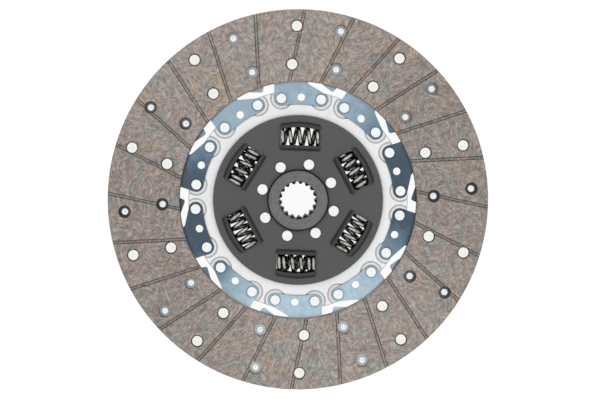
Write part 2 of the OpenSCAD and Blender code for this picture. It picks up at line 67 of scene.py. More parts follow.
# The lengths below are in metres.
# Height of the damper's middle plane, and of a side plate's face over it
DAMPER_Z = 0.0273
PLATE_FACE = 0.0067
# Heights over that face: where the painted shade on a window's lip is full, and where it thins on
# the crest
LIP_FOOT = 0.0007
CREST_FROM, CREST_TO = 0.0022, 0.0030
# Height of the plane between the facings, and of a dust groove's floor over it
CUSHION_Z = 0.02925
GROOVE_FLOOR = 0.00385
# Distances from the origin between which a segment's neck passes into its paddle
PADDLE_FROM, PADDLE_TO = 0.103, 0.107
# Radii between which the painted shade in the spline ends
SPLINE_SHADE_FROM, SPLINE_SHADE_TO = 0.0160, 0.0165

# The segments' shift from dark to pale blue and the facings' paler sides are painted reflection
# and painted sheen
# Angles about the shaft: the darkest direction of the necks, how far a paddle's rivets lie
# behind the middle of its strip, and the facings' darkest direction
NECK_DARK = math.radians(8)
PADDLE_LAG = math.radians(14)
FACING_DARK = math.radians(18)

# The photograph's width in pixels, and the size of a pixel on the facing's face
IMAGE_WIDTH = 600
PIXEL = 0.00085386
# The camera: sensor in millimetres, point in the picture's middle, and way to it from there
SENSOR_WIDTH = 36
CAMERA_TARGET = (0.00164, 0.00018, 0.034)
CAMERA_WAY = (-0.0063, 0.0351, 1)
CAMERA_DISTANCE = 1.2

# The floor is a square of this half width, a little under the part
FLOOR_REACH = 3.0
FLOOR_Z = -0.0002
# Light from the room and from the floor on the part, and the floor's own brightness
ROOM_STRENGTH = 0.36
FLOOR_STRENGTH = 0.5
FLOOR_BRIGHTNESS = 0.93


# Sizes and colours


def length(name, default, description):
    """A size in metres."""
    return FloatProperty(
        name=name, default=default, description=description, unit="LENGTH", precision=4
    )


def tint(name, default, description):
    """A linear colour."""
    return FloatVectorProperty(
        name=name, default=default, description=description, subtype="COLOR", size=3
    )


def turns(name, default, description):
    """A count of turns, parts of one included."""
    return FloatProperty(name=name, default=default, min=0.1, description=description)


class DISC_PG_sizes(bpy.types.PropertyGroup):
    """Sizes of the damper springs, and where they lie."""

    spring_circle: length(
        "Spring circle", 0.054, "Radius of the circle on which the springs' middles lie"
    )
    spring_height: length(
        "Spring height", DAMPER_Z, "Height of the springs' middles over the hub's rear end"
    )
    spring_length: length("Spring length", 0.0325, "Length of every spring at rest")
    outer_diameter: length("Outer diameter", 0.0195, "Diameter over an outer spring")
    paired_wire: length("Paired wire", 0.0038, "Wire of an outer spring with a partner")
    single_wire: length("Single wire", 0.0037, "Wire of an outer spring on its own")
    inner_diameter: length("Inner diameter", 0.0113, "Diameter over an inner spring")
    inner_wire: length("Inner wire", 0.0024, "Wire of an inner spring")
    paired_turns: turns("Paired turns", 5.8, "Turns of an outer spring with a partner")
    single_turns: turns("Single turns", 5.6, "Turns of an outer spring on its own")
    soft_turns: turns("Soft turns", 5.0, "Turns of the softest one, in window 2")
    inner_turns: turns("Inner turns", 8.8, "Turns of an inner spring")
    closed_turns: turns("Closed turns", 1.45, "Turns that lie close at each end of a pair")
    flat_turns: turns("Flat turns", 0.7, "Turn that lies flat at each end of the others")
    ring_steps: IntProperty(
        name="Steps a turn", default=56, min=24, description="Rings of the mesh per turn"
    )
    wire_sides: IntProperty(
        name="Wire sides", default=22, min=8, description="Sides of the wire's section"
    )
    window_turn: FloatProperty(
        name="First window",
        default=math.radians(28),
        subtype="ANGLE",
        description="Turn of the first spring window about the shaft",
    )
    spring_kept: FloatProperty(
        name="Length kept",
        default=0.797,
        min=0.5,
        max=1,
        description="Share of a spring's length that is left at the end of the twist",
    )


class DISC_PG_colours(bpy.types.PropertyGroup):
    """Base colours of the finishes."""

    facing: tint("Facing", (0.305, 0.276, 0.246), "Pressed resin of the facings")
    facing_yarn: tint("Pale yarn", (0.56, 0.49, 0.39), "Pale yarn in the facings")
    side_plate: tint("Side plate", (0.082, 0.082, 0.084), "Phosphated side plates")
    carrier: tint("Carrier plate", (0.80, 0.80, 0.805), "Zinc of the carrier plate")
    # The segments run between these blues by a painted reflection
    blue_dark: tint("Dark blue", (0.060, 0.090, 0.124), "Segments tempered dark blue")
    blue_middle: tint("Blue", (0.113, 0.178, 0.245), "Segments tempered blue")
    blue_light: tint("Pale blue", (0.41, 0.54, 0.63), "Segments tempered pale blue")
    # The paddles' grey runs from dark to pale by the same painted reflection
    paddle_dark: tint("Dark paddle", (0.05, 0.05, 0.05), "Dusty paddles of dark segments")
    paddle_pale: tint("Pale paddle", (0.65, 0.65, 0.65), "Dusty paddles of pale segments")
    # Painted shade: the colour the facings take in their grooves, in hollows and at rounded edges
    facing_shade: tint("Grime", (0.030, 0.026, 0.024), "Dust packed into the facings' grooves")
    rivet: tint("Rivet", (0.84, 0.86, 0.87), "Zinc on the hub and neck rivets")
    front_rivet: tint("Front rivet", (0.85, 0.845, 0.81), "Tin on the front rivets")
    rear_rivet: tint("Rear rivet", (0.93, 0.955, 0.965), "Zinc on the rear rivets")
    hub: tint("Hub", (0.170, 0.165, 0.163), "Turned steel of the hub")
    # The wire's colour under its painted highlight; the next is painted deep shade on the
    # springs' sides and in the hub's spline
    wire: tint("Spring wire", (0.57, 0.535, 0.49), "Spring wire where it is rubbed")
    shade_black: tint("Oil and scale", (0.012, 0.011, 0.011), "Springs' sides and the spline")
    lining: tint("Friction ring", (0.20, 0.16, 0.12), "Lining of the friction rings")
    spring_steel: tint("Disc spring", (0.40, 0.40, 0.41), "Disc spring")
    floor: tint("Floor", (0.55, 0.55, 0.55), "Studio floor")


# Building shader trees


def put(tree, kind, feeds=None, **settings):
    """Adds a shader node. Feeds are links or values for its sockets."""
    made = tree.nodes.new("ShaderNode" + kind)
    for name, value in settings.items():
        setattr(made, name, value)
    for name, value in (feeds or {}).items():
        socket = made.inputs[name]
        if isinstance(value, bpy.types.NodeSocket):
            tree.links.new(value, socket)
        else:
            socket.default_value = value
    return made


def reckon(tree, operation, *values, clamp=False):
    """The result of a Math node."""
    feeds = dict(enumerate(values))
    return put(tree, "Math", feeds, operation=operation, use_clamp=clamp).outputs[0]


def between(tree, value, low, high, to_low=0.0, to_high=1.0):
    """Maps value from low..high to to_low..to_high, smoothly and clamped."""
    feeds = {
        "Value": value,
        "From Min": low,
        "From Max": high,
        "To Min": to_low,
        "To Max": to_high,
    }
    return put(tree, "MapRange", feeds, interpolation_type="SMOOTHSTEP").outputs[0]


def mixed(tree, share, a, b, mode="MIX"):
    """Colour a, with colour b over it by share."""
    made = put(tree, "Mix", data_type="RGBA", blend_type=mode)
    for socket, value in ((made.inputs[0], share), (made.inputs[6], a), (made.inputs[7], b)):
        if isinstance(value, bpy.types.NodeSocket):
            tree.links.new(value, socket)
        elif isinstance(value, (int, float)):
            socket.default_value = value
        else:
            socket.default_value = (*value, 1)
    return made.outputs[2]


def times(tree, value, factor):
    """The product of two values."""
    return reckon(tree, "MULTIPLY", value, factor)


def toned(tree, colour, tone):
    """A colour times a brightness."""
    grey = put(tree, "CombineColor", {"Red": tone, "Green": tone, "Blue": tone})
    return mixed(tree, 1.0, colour, grey.outputs[0], "MULTIPLY")


def seen(tree):
    """1 for rays from the camera and for those that gloss throws on, else 0."""
    ray = put(tree, "LightPath").outputs
    return reckon(tree, "MAXIMUM", ray["Is Camera Ray"], ray["Is Glossy Ray"])


def place(tree):
    """Coordinates on the piece, in metres."""
    return put(tree, "TexCoord").outputs["Object"]


def height_from(tree, middle):
    """Height over or under a level plane."""
    height = put(tree, "SeparateXYZ", {0: place(tree)}).outputs["Z"]
    return reckon(tree, "ABSOLUTE", reckon(tree, "SUBTRACT", height, middle))


def noise(tree, where, scale, detail=3.0, roughness=0.55, distortion=0.0):
    """A Noise Texture."""
    feeds = {
        "Vector": where,
        "Scale": scale,
        "Detail": detail,
        "Roughness": roughness,
        "Distortion": distortion,
    }
    return put(tree, "TexNoise", feeds)


def new_group(name, inputs, outputs):
    """An empty node group with named sockets, each with its type and default."""
    tree = bpy.data.node_groups.new(name, "ShaderNodeTree")
    for label, kind, default in inputs:
        socket = tree.interface.new_socket(label, in_out="INPUT", socket_type=kind)
        if default is not None:
            socket.default_value = default
    for label, kind in outputs:
        tree.interface.new_socket(label, in_out="OUTPUT", socket_type=kind)
    given = tree.nodes.new("NodeGroupInput")
    result = tree.nodes.new("NodeGroupOutput")
    return tree, given.outputs, result.inputs


def use(tree, name, **values):
    """Places a node group and sets its inputs. Spaces in a socket's name are underscores here."""
    made = put(tree, "Group", node_tree=bpy.data.node_groups[name])
    for key, value in values.items():
        made.inputs[key.replace("_", " ")].default_value = value
    return made.outputs


def make_groups():
    """Effects that several finishes share."""
    number = "NodeSocketFloat"

    # Fine grain: three sizes of noise, finest strongest
    tree, given, result = new_group(
        "fine_grain", [("Scale", number, 900.0)], [("Value", number)]
    )
    here = place(tree)
    coarse = noise(tree, here, times(tree, given["Scale"], 0.22), 4, 0.6)
    fine = noise(tree, here, given["Scale"], 3, 0.7)
    both = reckon(tree, "ADD", coarse.outputs[0], fine.outputs[0])
    tree.links.new(times(tree, both, 0.5), result["Value"])

    # Smudges: large soft patches from handling and oil
    tree, given, result = new_group(
        "smudges", [("Scale", number, 60.0), ("Amount", number, 1.0)], [("Mask", number)]
    )
    here = place(tree)
    patch = noise(tree, here, given["Scale"], 5, 0.62, 0.6)
    mask = between(tree, patch.outputs[0], 0.42, 0.72)
    tree.links.new(times(tree, mask, given["Amount"]), result["Mask"])

    # Edges: normals rounded over an edge, and a mask where they turn
    tree, given, result = new_group(
        "rounded_edges",
        [("Radius", number, 0.0003)],
        [("Normal", "NodeSocketVector"), ("Edge", number)],
    )
    rounded = put(tree, "Bevel", {"Radius": given["Radius"]}, samples=6).outputs[0]
    flat = put(tree, "NewGeometry").outputs["Normal"]
    turn = put(tree, "VectorMath", {0: rounded, 1: flat}, operation="DOT_PRODUCT")
    edge = between(tree, turn.outputs["Value"], 0.995, 0.80)
    tree.links.new(rounded, result["Normal"])
    tree.links.new(edge, result["Edge"])

    # Occlusion shade: a mask for painted shade where little light comes in
    tree, given, result = new_group(
        "occlusion_shade", [("Distance", number, 0.003)], [("Mask", number)]
    )
    open_sky = put(tree, "AmbientOcclusion", {"Distance": given["Distance"]}, samples=8)
    tree.links.new(between(tree, open_sky.outputs["AO"], 0.92, 0.35), result["Mask"])

    # Turned rings: fine grooves round the shaft's axis, uneven in depth
    tree, given, result = new_group(
        "turned_rings",
        [("Pitch", number, 0.0004)],
        [("Value", number), ("Radius", number)],
    )
    here = place(tree)
    parts = put(tree, "SeparateXYZ", {0: here}).outputs
    flat_place = put(tree, "CombineXYZ", {"X": parts["X"], "Y": parts["Y"]}).outputs[0]
    radius = put(tree, "VectorMath", {0: flat_place}, operation="LENGTH").outputs["Value"]
    line = reckon(tree, "DIVIDE", radius, given["Pitch"])
    uneven = put(
        tree,
        "TexNoise",
        {"W": line, "Scale": 1.0, "Detail": 2.0, "Roughness": 0.7},
        noise_dimensions="1D",
    )
    tree.links.new(uneven.outputs[0], result["Value"])
    tree.links.new(radius, result["Radius"])

    # Level faces: 1 where the surface faces along the shaft, 0 on slopes and walls
    tree, given, result = new_group(
        "level_faces", [("From", number, 0.7), ("To", number, 0.97)], [("Mask", number)]
    )
    facing_up = put(tree, "TexCoord").outputs["Normal"]
    height = put(tree, "SeparateXYZ", {0: facing_up}).outputs["Z"]
    level = reckon(tree, "ABSOLUTE", height)
    tree.links.new(between(tree, level, given["From"], given["To"]), result["Mask"])

    # Strands: streaks of yarn, which lie another way in each patch
    tree, given, result = new_group(
        "strands",
        [("Patches", number, 50.0), ("Streaks", number, 450.0)],
        [("Line", number), ("Way", number)],
    )
    here = place(tree)
    drift = noise(tree, here, 30.0, 2.0).outputs["Color"]
    drift = put(
        tree, "VectorMath", {0: drift, 1: (0.012, 0.012, 0), 2: here}, operation="MULTIPLY_ADD"
    ).outputs[0]
    patch = put(tree, "TexVoronoi", {"Vector": drift, "Scale": given["Patches"]})
    way = put(tree, "SeparateColor", {0: patch.outputs["Color"]}).outputs[0]
    angle = times(tree, way, math.pi)
    turned = put(
        tree, "VectorRotate", {"Vector": drift, "Angle": angle}, rotation_type="Z_AXIS"
    )
    along = put(
        tree, "VectorMath", {0: turned.outputs[0], 1: (1, 0.16, 1)}, operation="MULTIPLY"
    )
    streak = noise(tree, along.outputs[0], given["Streaks"], 3.0, 0.62)
    tree.links.new(between(tree, streak.outputs[0], 0.34, 0.66), result["Line"])
    tree.links.new(way, result["Way"])


def new_finish(name, roughness, metallic=0.0, specular=0.5):
    """A material with one Principled shader. Returns it with its tree and shader inputs."""
    material = bpy.data.materials.new(name)
    material.use_nodes = True
    tree = material.node_tree
    shader = tree.nodes["Principled BSDF"].inputs
    shader["Roughness"].default_value = roughness
    shader["Metallic"].default_value = metallic
    shader["Specular IOR Level"].default_value = specular
    return material, tree, shader


def feed(tree, shader, **values):
    """Links results to the shader's sockets. Spaces are underscores here."""
    for key, value in values.items():
        tree.links.new(value, shader[key.replace("_", " ")])


def bumped(tree, height, depth, normal=None):
    """A bump of that depth in metres, over the given normal."""
    feeds = {"Height": height, "Distance": depth}
    if normal is not None:
        feeds["Normal"] = normal
    return put(tree, "Bump", feeds).outputs[0]


def across(tree, here, turn):
    """Sine of the direction from the shaft, after a turn about it."""
    turned = put(
        tree, "VectorRotate", {"Vector": here, "Angle": turn}, rotation_type="Z_AXIS"
    )
    reach = put(tree, "SeparateXYZ", {0: turned.outputs[0]}).outputs["Y"]
    level = put(tree, "VectorMath", {0: here, 1: (1, 1, 0)}, operation="MULTIPLY")
    radius = put(tree, "VectorMath", {0: level.outputs[0]}, operation="LENGTH")
    return reckon(tree, "DIVIDE", reach, radius.outputs["Value"])


def facing_finish(colours):
    """Wound yarn pressed in resin: bundles that cross each other, in soft patches of hue.

    The face is a little paler on two opposite sides, as the photograph shows it.
    """
    material, tree, shader = new_finish("pressed_yarn", 0.82, specular=0.25)
    here = place(tree)
    hue = noise(tree, here, 75, 4, 0.65, 0.4)
    base = Vector(colours.facing)
    ramp = put(tree, "ValToRGB", {"Fac": hue.outputs[0]})
    stops = ramp.color_ramp.elements
    stops[0].position, stops[1].position = 0.34, 0.68
    stops[0].color = (base.x * 0.90, base.y * 1.01, base.z * 1.01, 1)
    stops[1].color = (base.x * 1.12, base.y * 1.01, base.z * 0.90, 1)
    middle = stops.new(0.5)
    middle.color = (base.x * 1.05, base.y * 0.97, base.z * 1.02, 1)
    broad = use(tree, "strands", Patches=64.0, Streaks=620.0)
    narrow = use(tree, "strands", Patches=95.0, Streaks=950.0)
    bundle = between(tree, noise(tree, here, 60, 2.0).outputs[0], 0.46, 0.54, 0.35, 0.8)
    line = put(tree, "Mix", {0: bundle, 2: broad["Line"], 3: narrow["Line"]}).outputs[0]
    line = reckon(tree, "SUBTRACT", line, 0.5)
    grain = use(tree, "fine_grain", Scale=1300.0)["Value"]
    tone = reckon(tree, "MULTIPLY_ADD", line, 0.66, 1.0)
    tone = times(tree, tone, between(tree, grain, 0.34, 0.66, 0.72, 1.28))
    tone = times(tree, tone, between(tree, broad["Way"], 0, 1, 0.97, 1.03))
    # Painted sheen: paler on two opposite sides, by the square of the sine from FACING_DARK
    side = reckon(tree, "POWER", across(tree, here, -FACING_DARK), 2.0)
    tone = times(tree, tone, between(tree, side, 0, 1, 0.924, 1.073))
    colour = toned(tree, ramp.outputs[0], tone)
    speck = between(tree, grain, 0.60, 0.70, 0.0, 0.9)
    pale = reckon(tree, "MAXIMUM", speck, between(tree, line, 0.2, 0.5, 0.0, 0.36))
    colour = mixed(tree, pale, colour, colours.facing_yarn)
    edges = use(tree, "rounded_edges", Radius=0.0008)
    # Painted shade in the grooves, in hollows and along rounded edges
    shade = use(tree, "occlusion_shade", Distance=0.0014)["Mask"]
    groove = reckon(tree, "COMPARE", height_from(tree, CUSHION_Z), GROOVE_FLOOR, 0.0002)
    facing_shade = times(tree, reckon(tree, "POWER", shade, 0.36), groove)
    facing_shade = reckon(tree, "MAXIMUM", facing_shade, times(tree, shade, 0.52))
    shade = reckon(tree, "MAXIMUM", facing_shade, times(tree, edges["Edge"], 0.66))
    colour = mixed(tree, times(tree, shade, 0.96), colour, colours.facing_shade)
    height = reckon(tree, "ADD", line, grain)
    normal = bumped(tree, height, 0.00012, edges["Normal"])
    rough = between(tree, grain, 0.3, 0.7, 0.76, 0.92)
    feed(tree, shader, Base_Color=colour, Roughness=rough, Normal=normal)
    return material


def plate_finish(name, colour, roughness, metallic, edge_highlight, lip_shade=0.0):
    """Coated sheet: fine grain, soft smudges, a painted highlight on rounded edges, and painted
    shade in corners and on each window lip's slopes.
    """
    material, tree, shader = new_finish(name, roughness, metallic, 0.3)
    colour = Vector(colour)
    grain = use(tree, "fine_grain", Scale=800.0)["Value"]
    smudge = use(tree, "smudges", Scale=38.0, Amount=0.35)["Mask"]
    edges = use(tree, "rounded_edges", Radius=0.0005)
    shade = use(tree, "occlusion_shade", Distance=0.005)["Mask"]
    # Painted shade on the window lip's slopes, thinner on the crest
    over = reckon(tree, "SUBTRACT", height_from(tree, DAMPER_Z), PLATE_FACE)
    shadow_share = between(tree, over, 0.0, LIP_FOOT, 0.0, lip_shade)
    shadow_share = times(tree, shadow_share, between(tree, over, CREST_FROM, CREST_TO, 1.0, 0.7))
    tone = mixed(tree, smudge, colour, colour * 0.88)
    tone = mixed(tree, between(tree, grain, 0.3, 0.7, 0.0, 0.35), tone, colour * 1.25)
    tone = mixed(tree, shadow_share, tone, colour * 0.12)
    # Painted highlight on rounded edges
    tone = mixed(tree, times(tree, edges["Edge"], edge_highlight), tone, colour * 1.7)
    # Painted shade in corners
    tone = mixed(tree, times(tree, shade, 0.75), tone, colour * 0.10)
    rough = between(tree, grain, 0.3, 0.7, roughness - 0.08, roughness + 0.10)
    normal = bumped(tree, grain, 0.00004, edges["Normal"])
    feed(tree, shader, Base_Color=tone, Roughness=rough, Normal=normal)
    return material


def carrier_finish(colours):
    """Zinc on rolled sheet, with painted shade on walls, at edges and in hollows such as the
    coined rings.
    """
    material, tree, shader = new_finish("zinc_sheet", 0.42, 0.55)
    colour = Vector(colours.carrier)
    grain = use(tree, "fine_grain", Scale=520.0)["Value"]
    smudge = use(tree, "smudges", Scale=70.0, Amount=0.30)["Mask"]
    edges = use(tree, "rounded_edges", Radius=0.0004)
    shade = use(tree, "occlusion_shade", Distance=0.0030)["Mask"]
    tone = mixed(tree, between(tree, grain, 0.35, 0.7, 0.0, 0.30), colour, colour * 1.12)
    tone = mixed(tree, smudge, tone, colour * 0.80)
    # Painted shade on walls, at edges and in hollows
    level = use(tree, "level_faces", From=0.5, To=0.95)["Mask"]
    wall = reckon(tree, "SUBTRACT", 0.75, times(tree, level, 0.75))
    dark = reckon(tree, "MAXIMUM", wall, reckon(tree, "MAXIMUM", shade, edges["Edge"]))
    dark = reckon(tree, "POWER", dark, 0.65)
    tone = mixed(tree, times(tree, dark, 0.9), tone, colour * 0.12)
    normal = bumped(tree, grain, 0.00003, edges["Normal"])
    rough = between(tree, grain, 0.3, 0.7, 0.34, 0.52)
    feed(tree, shader, Base_Color=tone, Roughness=rough, Normal=normal)
    return material


def tempered_finish(colours):
    """Tempered spring steel, grey on the paddles.

    The pale share is a painted reflection. It runs with the square of the sine of the angle from
    one direction across the shaft, and is less on one side. On the paddles the angle is taken
    further round, by as much as their rivets lag behind the middle of the strip.
    """
    material, tree, shader = new_finish("tempered_blue", 0.40, 0.65)
    dark, light = Vector(colours.blue_dark), Vector(colours.blue_light)
    here = place(tree)
    distance = put(tree, "VectorMath", {0: here}, operation="LENGTH").outputs["Value"]
    paddle = between(tree, distance, PADDLE_FROM, PADDLE_TO)
    turn = between(tree, paddle, 0, 1, -NECK_DARK, PADDLE_LAG - NECK_DARK)
    sine = across(tree, here, turn)
    drift = noise(tree, here, 55, 4, 0.6, 0.8).outputs[0]
    # Painted reflection: the pale share follows the square of the sine, with a random drift
    share = reckon(tree, "ADD", reckon(tree, "POWER", sine, 2.0), -0.105)
    share = reckon(tree, "ADD", share, between(tree, drift, 0.3, 0.7, -0.07, 0.03))
    share = between(tree, share, -0.06, 0.66)
    share = times(tree, share, between(tree, sine, -1.0, 1.0, 1.0, 0.69))
    grain = use(tree, "fine_grain", Scale=800.0)["Value"]
    scratch = use(tree, "smudges", Scale=260.0, Amount=0.30)["Mask"]
    edges = use(tree, "rounded_edges", Radius=0.00025)
    shade = use(tree, "occlusion_shade", Distance=0.0024)["Mask"]
    shade = reckon(tree, "POWER", shade, 0.5)
    shade = times(tree, shade, between(tree, paddle, 0, 1, 0.95, 0.15))
    ramp = put(tree, "ValToRGB", {"Fac": share})
    stops = ramp.color_ramp.elements
    stops[0].color, stops[1].color = (*dark, 1), (*light, 1)
    middle = stops.new(0.15)
    middle.color = (*colours.blue_middle, 1)
    tone = mixed(tree, times(tree, scratch, share), ramp.outputs[0], light * 0.75)
    tone = toned(tree, tone, between(tree, grain, 0.3, 0.7, 0.86, 1.16))
    # Painted highlight on rounded edges
    tone = mixed(tree, times(tree, edges["Edge"], 0.3), tone, light)
    # The paddles' grey follows the same painted reflection
    paddle_tone = mixed(tree, share, colours.paddle_dark, colours.paddle_pale)
    tone = mixed(tree, times(tree, paddle, 0.8), tone, paddle_tone)
    # Painted shade in hollows, weaker on the paddles
    tone = mixed(tree, shade, tone, dark * 0.25)
    rough = between(tree, grain, 0.3, 0.7, 0.30, 0.48)
    normal = bumped(tree, grain, 0.00002, edges["Normal"])
    feed(tree, shader, Base_Color=tone, Roughness=rough, Normal=normal)
    return material


def hub_finish(colours):
    """Turned steel: the tool's rings on every face round the shaft, painted deep shade in the
    spline and in hollows, and a painted highlight on rounded edges.
    """
    material, tree, shader = new_finish("turned_steel", 0.45, 0.75)
    colour, shade_black = Vector(colours.hub), Vector(colours.shade_black)
    rings = use(tree, "turned_rings", Pitch=0.00045)
    bands = use(tree, "turned_rings", Pitch=0.0014)["Value"]
    grain = use(tree, "fine_grain", Scale=700.0)["Value"]
    edges = use(tree, "rounded_edges", Radius=0.0004)
    shade = use(tree, "occlusion_shade", Distance=0.006)["Mask"]
    stain = use(tree, "smudges", Scale=210.0, Amount=0.45)["Mask"]
    tone = mixed(tree, between(tree, bands, 0.35, 0.65), colour * 0.88, colour * 1.14)
    tone = mixed(tree, between(tree, rings["Value"], 0.4, 0.7, 0.0, 0.4), tone, colour * 1.4)
    speck = between(tree, grain, 0.36, 0.64, 0.0, 0.6)
    tone = mixed(tree, speck, tone, colour * 0.62)
    tone = mixed(tree, stain, tone, (colour.x * 1.34, colour.y * 1.20, colour.z * 1.06))
    # Painted highlight on rounded edges
    tone = mixed(tree, times(tree, edges["Edge"], 0.5), tone, colour * 2.2)
    # Painted deep shade in the spline and in hollows
    shadow_share = between(tree, rings["Radius"], SPLINE_SHADE_FROM, SPLINE_SHADE_TO, 0.93, 0.0)
    tone = mixed(tree, reckon(tree, "MAXIMUM", shadow_share, shade), tone, shade_black)
    height = reckon(tree, "ADD", rings["Value"], times(tree, grain, 0.5))
    normal = bumped(tree, height, 0.00006, edges["Normal"])
    rough = between(tree, rings["Value"], 0.3, 0.7, 0.40, 0.60)
    feed(tree, shader, Base_Color=tone, Roughness=rough, Normal=normal)
    return material


def rivet_finish(name, colour, metallic, shade_depth, rim_shade=0.0):
    """Plated rivets, pressed by the tool, with painted shade where they meet the sheet and along
    rounded edges.
    """
    material, tree, shader = new_finish(name, 0.4, metallic)
    colour = Vector(colour)
    grain = use(tree, "fine_grain", Scale=1500.0)["Value"]
    edges = use(tree, "rounded_edges", Radius=0.00035)
    shade = use(tree, "occlusion_shade", Distance=0.0012)["Mask"]
    tone = mixed(tree, between(tree, grain, 0.35, 0.7), colour * 0.94, colour * 1.06)
    # Painted shade along rounded edges and in hollows
    dark = times(tree, edges["Edge"], rim_shade)
    dark = reckon(tree, "MAXIMUM", dark, times(tree, shade, shade_depth))
    tone = mixed(tree, dark, tone, colour * 0.35)
    rough = between(tree, grain, 0.3, 0.7, 0.32, 0.5)
    normal = bumped(tree, grain, 0.00003, edges["Normal"])
    feed(tree, shader, Base_Color=tone, Roughness=rough, Normal=normal)
    return material


def wire_finish(colours):
    """Peened spring wire: a painted highlight where its faces look along the shaft, and painted
    deep shade on its sides and in hollows.
    """
    material, tree, shader = new_finish("peened_wire", 0.38, 0.7)
    colour, shade_black = Vector(colours.wire), Vector(colours.shade_black)
    dimple = put(
        tree, "TexVoronoi", {"Vector": place(tree), "Scale": 2400.0}, feature="SMOOTH_F1"
    )
    grain = use(tree, "fine_grain", Scale=700.0)["Value"]
    shade = use(tree, "occlusion_shade", Distance=0.003)["Mask"]
    # Painted highlight on faces that look along the shaft, mottled; painted deep shade elsewhere
    highlit = use(tree, "level_faces", From=0.68, To=1.0)["Mask"]
    film = noise(tree, place(tree), 420, 3, 0.7).outputs[0]
    highlit = times(tree, highlit, between(tree, film, 0.34, 0.58, 0.45, 1.0))
    lit_share = reckon(tree, "SUBTRACT", highlit, times(tree, shade, 0.55), clamp=True)
    tone = mixed(tree, between(tree, grain, 0.35, 0.65), colour * 0.75, colour * 1.25)
    tone = mixed(tree, lit_share, shade_black, tone)
    rough = between(tree, grain, 0.3, 0.7, 0.30, 0.48)
    normal = bumped(tree, dimple.outputs["Distance"], 0.00003)
    feed(tree, shader, Base_Color=tone, Roughness=rough, Normal=normal)
    return material


def finish_once(name, make):
    """The material of that name, made on its first use."""
    return bpy.data.materials.get(name) or make()


def dress(nodes, material):
    """Gives CAD nodes one material."""
    for name in nodes:
        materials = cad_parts[name].data.materials
        materials.clear()
        materials.append(material)


# Coil springs


def coil_mesh(name, diameter, wire, count, closed, span, start, hand, steps, sides):
    """A spring along Y with ground ends.

    Ring i sits at angle a = start + 2 pi t on a circle of the mean radius in X and Z. Side j
    of the ring is wire / 2 away from it, at angle b between outwards and along Y. The wire's
    middle starts in the end's plane and, over the closed turns, either rises by half a wire
    or lies against the next turn. Points past an end's plane are moved back onto it, and
    each end is closed with a fan of triangles.
    """
    t = np.linspace(0, count, int(round(count * steps)) + 1)
    tight = wire / 2 / closed if closed < 1 else 1.01 * wire
    knots = [0, closed, count - closed, count]
    along = np.interp(t, knots, [0, closed * tight, span - closed * tight, span])
    a = start + 2 * math.pi * t[:, None]
    b = (2 * math.pi * (np.arange(sides) + 0.5) / sides)[None, :]
    radius = (diameter - wire) / 2 + wire / 2 * np.cos(b)
    y = np.clip(span / 2 - along[:, None] + wire / 2 * np.sin(b), -span / 2, span / 2)
    points = np.stack([radius * np.cos(a), hand * y + 0 * a, radius * np.sin(a)], axis=-1)
    grid = np.arange(len(t) * sides).reshape(len(t), sides)
    beside = np.roll(grid, -1, axis=1)
    walls = np.stack([grid[:-1], beside[:-1], beside[1:], grid[1:]], axis=-1)
    # Each fan starts on the side that isn't ground, so its triangles all have an area
    first = np.roll(grid[0], -round(0.7 * sides))
    last = np.roll(grid[-1], -round(0.2 * sides))[::-1]
    caps = [
        np.stack([0 * ring[1:-1] + ring[0], ring[2:], ring[1:-1]], axis=-1)
        for ring in (first, last)
    ]
    faces = walls.reshape(-1, 4).tolist() + caps[0].tolist() + caps[1].tolist()
    if hand < 0:
        faces = [face[::-1] for face in faces]
    mesh = bpy.data.meshes.new(name)
    mesh.from_pydata(points.reshape(-1, 3), [], faces)
    mesh.shade_smooth()
    mesh.set_sharp_from_angle(angle=math.radians(40))
    return mesh


def wind_spring(sizes, window, inner):
    """Winds one spring in place of its CAD node, on the spring set's body."""
    paired = window in PAIRED
    if inner:
        name, node = f"inner_coil_{window}", f"inner_spring_{window}"
        diameter, wire, count = sizes.inner_diameter, sizes.inner_wire, sizes.inner_turns
    else:
        name, node = f"outer_coil_{window}", f"damper_spring_{window}"
        diameter = sizes.outer_diameter
        wire = sizes.paired_wire if paired else sizes.single_wire
        count = sizes.soft_turns if window == SOFT else sizes.single_turns
        count = sizes.paired_turns if paired else count
    mesh = coil_mesh(
        name,
        diameter,
        wire,
        count,
        sizes.closed_turns if paired and not inner else sizes.flat_turns,
        sizes.spring_length,
        math.radians((INNER_START if inner else OUTER_START)[window]),
        -1 if inner else 1,
        sizes.ring_steps,
        sizes.wire_sides,
    )
    turn = sizes.window_turn + (window - 1) * math.pi / 3
    seat = Matrix.Rotation(turn, 4, "Z") @ Matrix.Translation(
        (sizes.spring_circle, 0, sizes.spring_height)
    )
    mesh.transform(seat)
    coil = bpy.data.objects.new(name, mesh)
    bpy.context.scene.collection.objects.link(coil)
    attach(coil, "spring_set")
    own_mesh(coil)
    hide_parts(node)
    return coil


# Operators


class DISC_OT_facings(bpy.types.Operator):
    """Gives both facings their pressed yarn and resin"""

    bl_idname = "disc.facings"
    bl_label = "Facings"

    def execute(self, context):
        colours = context.scene.disc_colours
        dress(["front_facing", "rear_facing"], facing_finish(colours))
        return {"FINISHED"}


class DISC_OT_segments(bpy.types.Operator):
    """Tempers the cushion segments blue"""

    bl_idname = "disc.segments"
    bl_label = "Cushion segments"

    def execute(self, context):
        dress(SEGMENTS, tempered_finish(context.scene.disc_colours))
        return {"FINISHED"}


class DISC_OT_carrier(bpy.types.Operator):
    """Gives the carrier plate its zinc"""

    bl_idname = "disc.carrier"
    bl_label = "Carrier plate"

    def execute(self, context):
        dress(["carrier_plate"], carrier_finish(context.scene.disc_colours))
        return {"FINISHED"}


